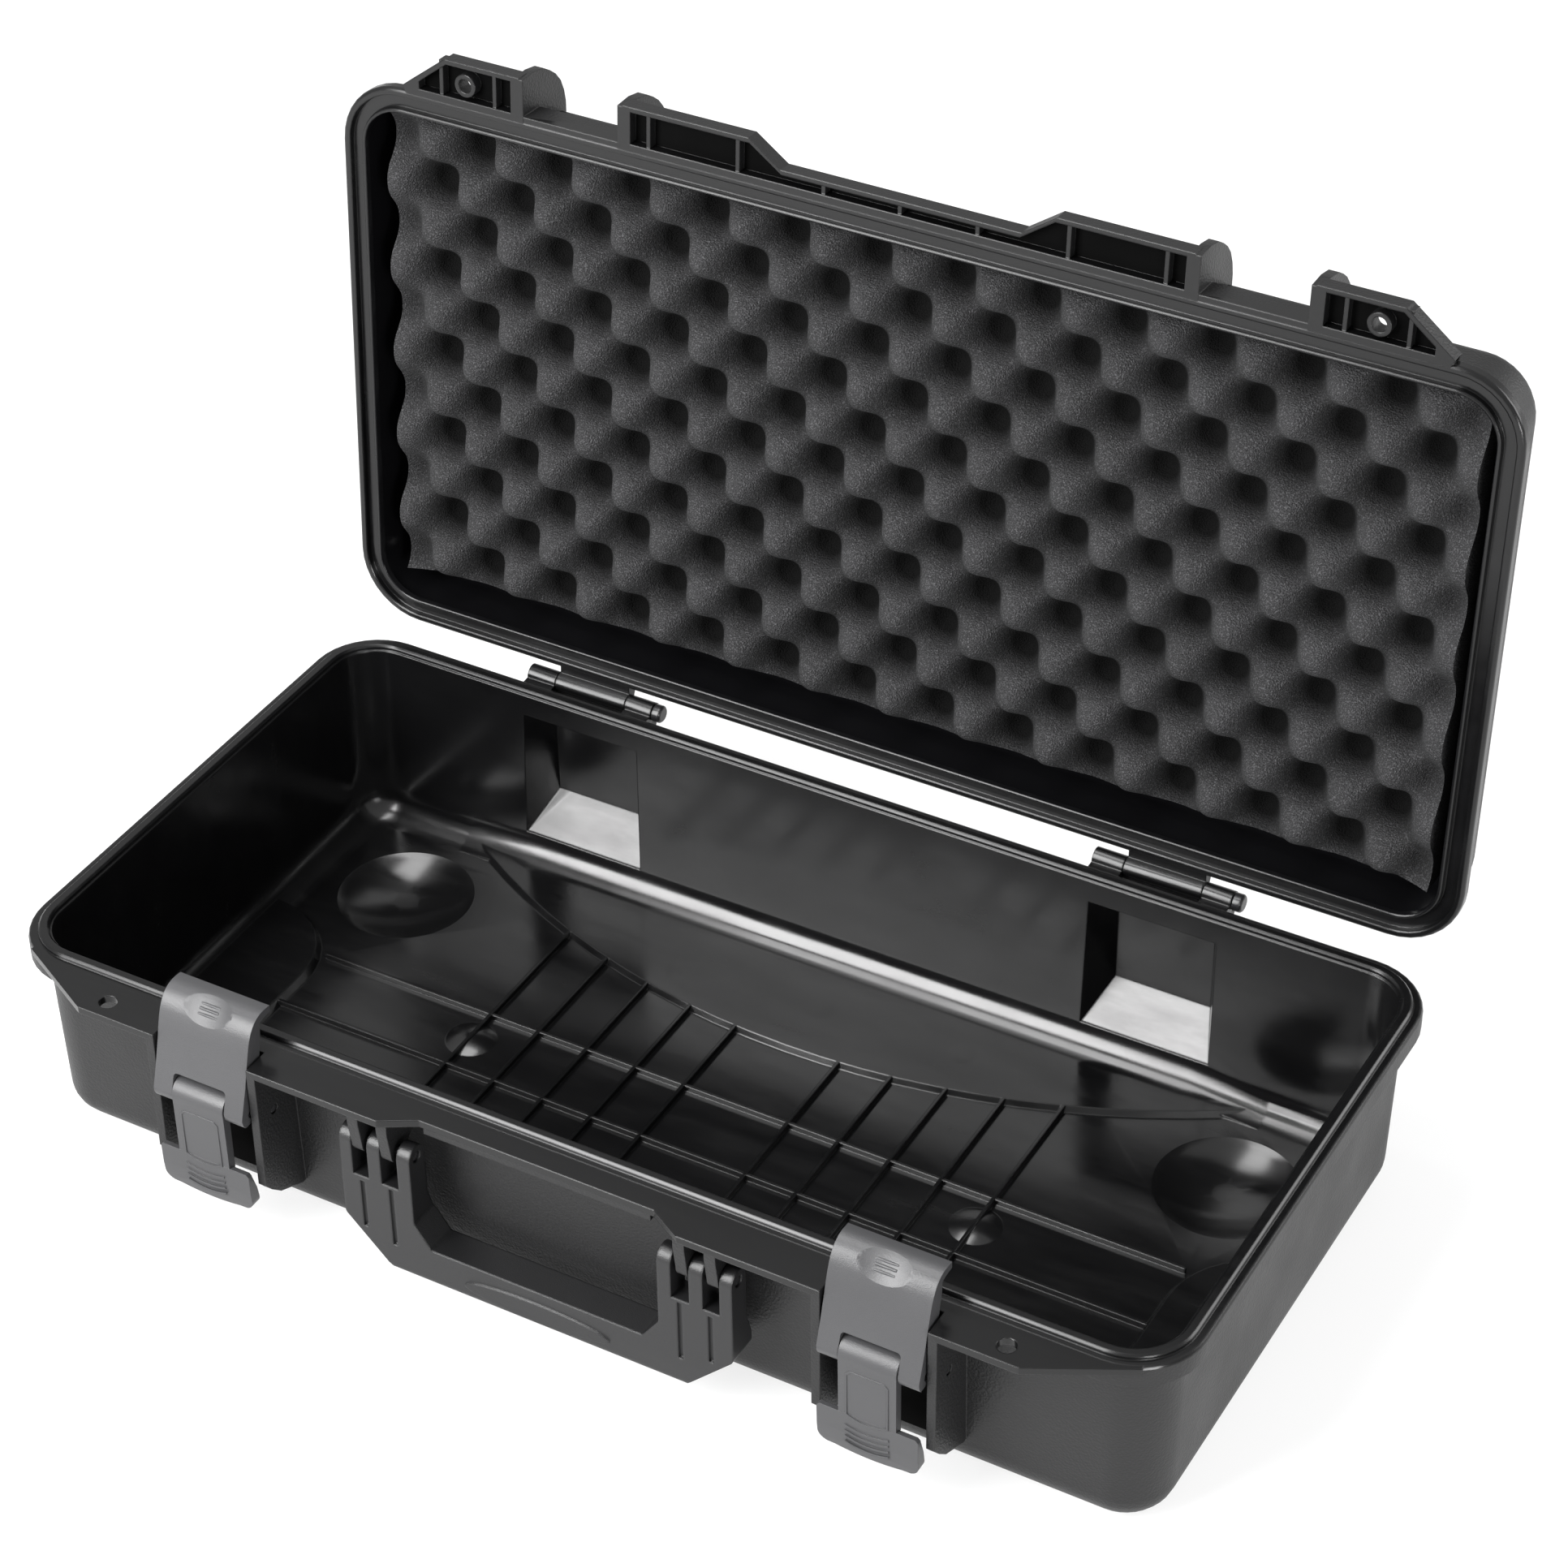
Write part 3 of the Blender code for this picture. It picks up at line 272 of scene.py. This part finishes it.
def tub_lining(name, shade, rough):
    """Polished inside of the tub: deep bowls, flow waves, wiping marks and faint round ejector marks."""
    material, tree, shader = new_material(name)
    vector = place(tree)
    broad = noise(tree, vector, 14.0, 3.0)
    colour = tint(tree, broad, 0.3, 0.7, [c * 0.8 for c in shade], [c * 1.2 for c in shade])
    tree.links.new(colour, shader.inputs["Base Color"])
    smear = noise(tree, place(tree, (1.0, 5.0, 2.0)), 16.0, 7.0, 0.62)
    worn = span(tree, smear, 0.3, 0.75, rough * 0.7, rough * 1.7)
    tree.links.new(worn, shader.inputs["Roughness"])
    relief = []
    for side in (-1, 1):
        bowl = (side * BOWL_PLACE[0], BOWL_PLACE[1])
        dome = (side * DOME_PLACE[0], DOME_PLACE[1])
        relief.append(round_relief(tree, vector, bowl, BOWL_RADIUS, BOWL_RISE))
        relief.append(round_relief(tree, vector, dome, DOME_RADIUS, DOME_RISE))
    for centre in EJECTOR_MARKS:
        relief.append(round_relief(tree, vector, centre, EJECTOR_RADIUS, EJECTOR_RISE))
    deep = bump(tree, add(tree, relief), 1.0, soft_edge(tree, 0.9))
    flow = noise(tree, vector, 26.0, 3.0)
    tree.links.new(bump(tree, flow, 0.00010, deep), shader.inputs["Normal"])
    shader.inputs["IOR"].default_value = 1.55
    return material


def foam_material(name):
    """Open-cell foam: dull charcoal with pale specks, with painted shade that takes it to near black down in
    the pits.
    """
    material, tree, shader = new_material(name)
    vector = place(tree)
    cell = cells(tree, vector, 1500.0)
    fleck = noise(tree, vector, 1700.0, 1.0)
    broad = noise(tree, vector, 45.0, 3.0)
    dull = tint(tree, broad, 0.3, 0.7, (0.022, 0.022, 0.0225), (0.028, 0.028, 0.029))
    speck = span(tree, fleck, 0.50, 0.75, 0.0, 0.8)
    lit = mix_colour(tree, speck, dull, (0.085, 0.085, 0.088))
    # Painted shade: the colour runs to near black with depth into the pits, standing in for the shade that
    # falls there.
    inward = (to_open((0.0, 0.0, 100.0)) - to_open((0.0, 0.0, 0.0))).normalized()
    depth = tree.nodes.new("ShaderNodeVectorMath")
    depth.operation = "DOT_PRODUCT"
    tree.links.new(vector, depth.inputs[0])
    depth.inputs[1].default_value = inward
    start = inward.dot(to_open((0.0, 0.0, FOAM_PEAK)))
    reach = (FOAM_VALLEY - FOAM_PEAK) * MM
    deep = span(tree, depth.outputs["Value"], start + reach * 0.30, start + reach * 0.85, 0.0, 1.0)
    tree.links.new(mix_colour(tree, deep, lit, (0.0008, 0.0008, 0.0008)), shader.inputs["Base Color"])
    worn = span(tree, cell, 0.0, 0.8, 0.85, 1.0)
    tree.links.new(worn, shader.inputs["Roughness"])
    shader.inputs["Specular IOR Level"].default_value = 0.15
    tree.links.new(bump(tree, cell, 0.0005), shader.inputs["Normal"])
    return material


def floor_material(name):
    """Pale ground that glows a little, so that it stays near white."""
    material, tree, shader = new_material(name)
    vector = place(tree)
    soft = noise(tree, vector, 3.0, 2.0)
    colour = tint(tree, soft, 0.3, 0.7, (0.24, 0.24, 0.24), (0.26, 0.26, 0.26))
    tree.links.new(colour, shader.inputs["Base Color"])
    shader.inputs["Roughness"].default_value = 0.9
    shader.inputs["Emission Color"].default_value = (1.0, 1.0, 1.0, 1.0)
    shader.inputs["Emission Strength"].default_value = 0.75
    return material


# ------------------------------------------------------------------ carried-over CAD pieces

def dress(node, material, edge, segments=2):
    """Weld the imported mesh, keep its edges (edge 0) or round them, and give it a material."""
    weld = node.modifiers.new("weld", "WELD")
    weld.merge_threshold = 0.00001
    if edge <= 0.0:
        crease = node.modifiers.new("creases", "EDGE_SPLIT")
        crease.use_edge_sharp = False
        crease.split_angle = math.radians(CREASE)
    else:
        flat = node.modifiers.new("flat", "DECIMATE")
        flat.decimate_type = "DISSOLVE"
        flat.angle_limit = math.radians(0.4)
        rounder = node.modifiers.new("edges", "BEVEL")
        rounder.width = edge * MM
        rounder.segments = segments
        rounder.limit_method = "ANGLE"
        rounder.angle_limit = math.radians(CREASE)
        rounder.use_clamp_overlap = True
        rounder.harden_normals = True
    tidy = node.modifiers.new("normals", "WEIGHTED_NORMAL")
    tidy.keep_sharp = True
    tidy.weight = 100
    tidy.mode = "FACE_AREA"
    node.data.materials.clear()
    node.data.materials.append(material)
    for face in node.data.polygons:
        face.use_smooth = True


def outline_distance(across, along):
    """Signed distance in millimetres from the case outline seen from above, below zero inside."""
    over_x = abs(across) - (CASE_WIDTH / 2.0 - CORNER_RADIUS)
    over_y = abs(along) - (CASE_DEPTH / 2.0 - CORNER_RADIUS)
    outside = math.hypot(max(over_x, 0.0), max(over_y, 0.0))
    return outside + min(max(over_x, over_y), 0.0) - CORNER_RADIUS


def base_finish(point, normal):
    """Finish of a face of the tub, or painted shade in a latch well, from where its middle lies and which way
    it looks.
    """
    across, along, height = point
    beside_latch = abs(abs(across) - LATCH_X)
    if LATCH_WELL_Y[0] < along < LATCH_WELL_Y[1] and beside_latch < LATCH_WELL_HALF and height < 83.2:
        # Faces of a latch well that look forward, and undersides high in it, get near-black painted shade.
        if normal.y < -0.3 or (normal.z < -0.5 and height > 60.0):
            return SHADED_WELL
    beside_pocket = abs(across) - POCKET_X
    in_pocket_y = POCKET_Y[0] < along < POCKET_Y[1]
    in_pocket_z = POCKET_Z[0] < height < POCKET_Z[1]
    if in_pocket_y and in_pocket_z and abs(beside_pocket) < POCKET_HALF:
        toward = -normal.x * beside_pocket * (1.0 if across > 0.0 else -1.0)
        if normal.y < -0.2 or toward > 0.2 or normal.z > 0.2 or height > 76.0:
            return POLISHED
    depth = outline_distance(across, along)
    if depth < -8.55 and height < 86.2 and normal.z > -0.02:
        inward = -(normal.x * across / (CASE_WIDTH / 2.0) + normal.y * along / (CASE_DEPTH / 2.0))
        if inward > -0.05 or normal.z > 0.3:
            return POLISHED
    if height > 83.0 and normal.z > -0.5:
        return RIM
    return GRAINED


def lid_finish(point, normal):
    """Finish of a face of the lid, or painted shade under its front flange, in the closed lid's own
    coordinates.
    """
    across, along, height = point
    depth = outline_distance(across, along)
    if depth < -7.9 and height > 91.9 and normal.z < 0.02:
        return POLISHED
    if depth < -9.9 and normal.z < 0.9:
        return POLISHED if height < 117.0 else GRAINED
    if depth > 0.2 and along < -122.5 and abs(normal.z) < 0.5:
        return GRAINED
    if height < 92.2 and depth < 0.2:
        return RIM
    # Down-facing faces of the lid's front flange get near-black painted shade.
    if normal.z < -0.5 and height > 89.0 and depth > 0.2 and along < -118.0:
        return SHADED_WELL
    if normal.z < -0.5 or (height < 91.3 and depth > 0.2 and -137.0 < along < 0.0):
        return RIM
    return GRAINED


def sort_faces(node, finish, closed_lid=False):
    """Give every face of a shell the finish of the surface it lies on, or painted shade in the latch wells
    and under the lid's front flange.
    """
    unturn = Matrix.Rotation(math.radians(-LID_OPEN), 3, "X")
    anchor = Vector((0.0, HINGE[0], HINGE[1]))
    for face in node.data.polygons:
        point = face.center / MM
        normal = face.normal.copy()
        if closed_lid:
            point = unturn @ (point - anchor) + anchor
            normal = unturn @ normal
        face.material_index = finish(point, normal)


# ------------------------------------------------------------------ foam

def to_open(point):
    """From the closed lid's millimetres to the open lid's metres."""
    turn = math.radians(LID_OPEN)
    across = point[1] - HINGE[0]
    up = point[2] - HINGE[1]
    back = across * math.cos(turn) - up * math.sin(turn)
    high = across * math.sin(turn) + up * math.cos(turn)
    return Vector((point[0], HINGE[0] + back, HINGE[1] + high)) * MM


def foam_level(across, along):
    """Height of the egg-crate face, flatter close to its cut sides."""
    wave = math.cos(2.0 * math.pi * (across - FOAM_PHASE[0]) / FOAM_PITCH)
    wave *= math.cos(math.pi * (along - FOAM_PHASE[1]) / FOAM_ROW)
    share = 0.5 + 0.5 * wave
    share = 0.5 * share + 0.5 * share * share * (3.0 - 2.0 * share)
    edge = min(1.0, (FOAM_HALF_X - abs(across)) / FOAM_FLAT_EDGE)
    return FOAM_PEAK + (FOAM_VALLEY - FOAM_PEAK) * share * (0.4 + 0.6 * edge)


def foam_pad():
    """Pad of egg-crate foam: a grid for its face, its four cut sides and a flat back."""
    points = []
    faces = []
    for j in range(FOAM_ROWS + 1):
        along = FOAM_LOW_Y + (FOAM_HIGH_Y - FOAM_LOW_Y) * j / FOAM_ROWS
        for i in range(FOAM_COLUMNS + 1):
            across = -FOAM_HALF_X + 2.0 * FOAM_HALF_X * i / FOAM_COLUMNS
            points.append((across, along, foam_level(across, along)))
    wide = FOAM_COLUMNS + 1
    for j in range(FOAM_ROWS):
        for i in range(FOAM_COLUMNS):
            first = j * wide + i
            faces.append((first, first + 1, first + wide + 1, first + wide))
    border = list(range(wide))
    border += [j * wide + FOAM_COLUMNS for j in range(1, FOAM_ROWS + 1)]
    border += [FOAM_ROWS * wide + i for i in range(FOAM_COLUMNS - 1, -1, -1)]
    border += [j * wide for j in range(FOAM_ROWS - 1, 0, -1)]
    start = len(points)
    for index in border:
        points.append((points[index][0], points[index][1], FOAM_BACK))
    count = len(border)
    for k in range(count):
        after = (k + 1) % count
        faces.append((border[k], start + k, start + after, border[after]))
    faces.append(tuple(range(start, start + count)))
    mesh = bpy.data.meshes.new("foam_egg_crate")
    mesh.from_pydata([to_open(point) for point in points], [], faces)
    work = bmesh.new()
    work.from_mesh(mesh)
    bmesh.ops.recalc_face_normals(work, faces=work.faces)
    work.to_mesh(mesh)
    work.free()
    for face in mesh.polygons:
        face.use_smooth = True
    mesh.set_sharp_from_angle(angle=math.radians(50.0))
    pad = bpy.data.objects.new("foam_egg_crate", mesh)
    bpy.context.scene.collection.objects.link(pad)
    return pad


# ------------------------------------------------------------------ stage

def camera():
    """The scene's camera, placed and turned by the constants at the top."""
    data = bpy.data.cameras.new("camera")
    item = bpy.data.objects.new("camera", data)
    bpy.context.scene.collection.objects.link(item)
    side = math.radians(CAMERA_AZIMUTH)
    height = math.radians(CAMERA_ELEVATION)
    roll = math.radians(CAMERA_ROLL)
    level = math.cos(height)
    forward = Vector((-math.sin(side) * level, math.cos(side) * level, -math.sin(height)))
    right = Vector((math.cos(side), math.sin(side), 0.0))
    up = right.cross(forward)
    axis_x = right * math.cos(roll) + up * math.sin(roll)
    axis_y = -right * math.sin(roll) + up * math.cos(roll)
    turn = Matrix((axis_x, axis_y, -forward)).transposed().to_4x4()
    item.matrix_world = Matrix.Translation(CAMERA_PLACE) @ turn
    data.lens = CAMERA_LENS
    data.sensor_width = 36.0
    data.shift_x = CAMERA_SHIFT[0]
    data.shift_y = CAMERA_SHIFT[1]
    data.clip_start = 0.05
    data.clip_end = 60.0
    bpy.context.scene.camera = item


def soft_light(name, place_at, aim, size, power):
    """Rectangular lamp that faces the point it is aimed at."""
    data = bpy.data.lights.new(name, "AREA")
    data.shape = "RECTANGLE"
    data.size = size[0]
    data.size_y = size[1]
    data.energy = power
    item = bpy.data.objects.new(name, data)
    item.location = place_at
    item.rotation_euler = (Vector(aim) - Vector(place_at)).to_track_quat("-Z", "Y").to_euler()
    bpy.context.scene.collection.objects.link(item)


def studio_world():
    """Pale dome: bright overhead, dim at the horizon."""
    world = bpy.data.worlds.new("world")
    world.use_nodes = True
    tree = world.node_tree
    back = tree.nodes["Background"]
    coords = tree.nodes.new("ShaderNodeTexCoord")
    split = tree.nodes.new("ShaderNodeSeparateXYZ")
    tree.links.new(coords.outputs["Generated"], split.inputs["Vector"])
    shade = span(tree, split.outputs["Z"], 0.0, 0.9, 0.45, 0.75)
    tree.links.new(shade, back.inputs["Color"])
    back.inputs["Strength"].default_value = 1.0
    bpy.context.scene.world = world


def stage():
    """Ground, sky and four soft lamps."""
    reach = 12.0
    below = -0.0004
    corners = [(-reach, -reach, below), (reach, -reach, below), (reach, reach, below), (-reach, reach, below)]
    mesh = bpy.data.meshes.new("ground")
    mesh.from_pydata(corners, [], [(0, 1, 2, 3)])
    ground = bpy.data.objects.new("ground", mesh)
    ground.data.materials.append(floor_material("pale_floor"))
    bpy.context.scene.collection.objects.link(ground)
    studio_world()
    soft_light("front_left", (-0.66, -1.20, 0.92), (0.0, -0.05, 0.08), (0.8, 1.4), 58.0)
    soft_light("overhead", (-0.42, 0.0, 1.5), (0.0, 0.0, 0.05), (0.9, 0.6), 14.0)
    soft_light("front_right", (1.35, -1.05, 0.30), (0.15, 0.0, 0.08), (0.5, 0.4), 15.0)
    soft_light("back_right", (1.10, 0.85, 0.75), (0.1, 0.05, 0.15), (0.8, 0.8), 10.0)
    scene = bpy.context.scene
    scene.view_settings.view_transform = "Standard"
    scene.view_settings.look = "None"


def main():
    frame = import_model()
    nodes = frame["nodes"]
    grain = grained_plastic("grained_shell", (0.006, 0.006, 0.0063), 0.46)
    latch = grained_plastic("grained_latch", (0.040, 0.040, 0.042), 0.36, 2600.0, 0.00003, 0.3)
    handle = grained_plastic("grained_handle", (0.009, 0.009, 0.0095), 0.34, 1900.0, 0.00004, 1.2)
    gloss = smooth_plastic("smooth_plastic", (0.012, 0.012, 0.013), 0.20)
    lining = tub_lining("tub_lining", (0.003, 0.003, 0.0032), 0.18)
    inside = smooth_plastic("polished_inside", (0.004, 0.004, 0.0045), 0.16)
    rim = smooth_plastic("satin_rim", (0.003, 0.003, 0.0032), 0.20)
    # Near black with almost no sheen: painted shade for the latch wells and under the lid's front flange.
    shade_well = smooth_plastic("painted_shade_well", (0.002, 0.002, 0.002), 0.6, 0.00003, 0.02)
    for name, within, finish in (("base_shell", lining, base_finish), ("lid_shell", inside, lid_finish)):
        dress(nodes[name], grain, 0.0)
        for material in (within, rim, shade_well):
            nodes[name].data.materials.append(material)
        sort_faces(nodes[name], finish, name == "lid_shell")
    dress(nodes["carry_handle"], handle, 0.8, 3)
    for word in ("left", "right"):
        dress(nodes["latch_hook_" + word], latch, 0.6, 3)
        dress(nodes["latch_lever_" + word], latch, 0.6, 3)
        for name in ("handle_pin_", "latch_base_pin_", "latch_hook_pin_", "hinge_pin_"):
            dress(nodes[name + word], gloss, 0.3)
    pad = foam_pad()
    pad.data.materials.append(foam_material("open_cell_foam"))
    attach(pad, "lid")
    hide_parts("lid_foam")
    camera()
    stage()


main()
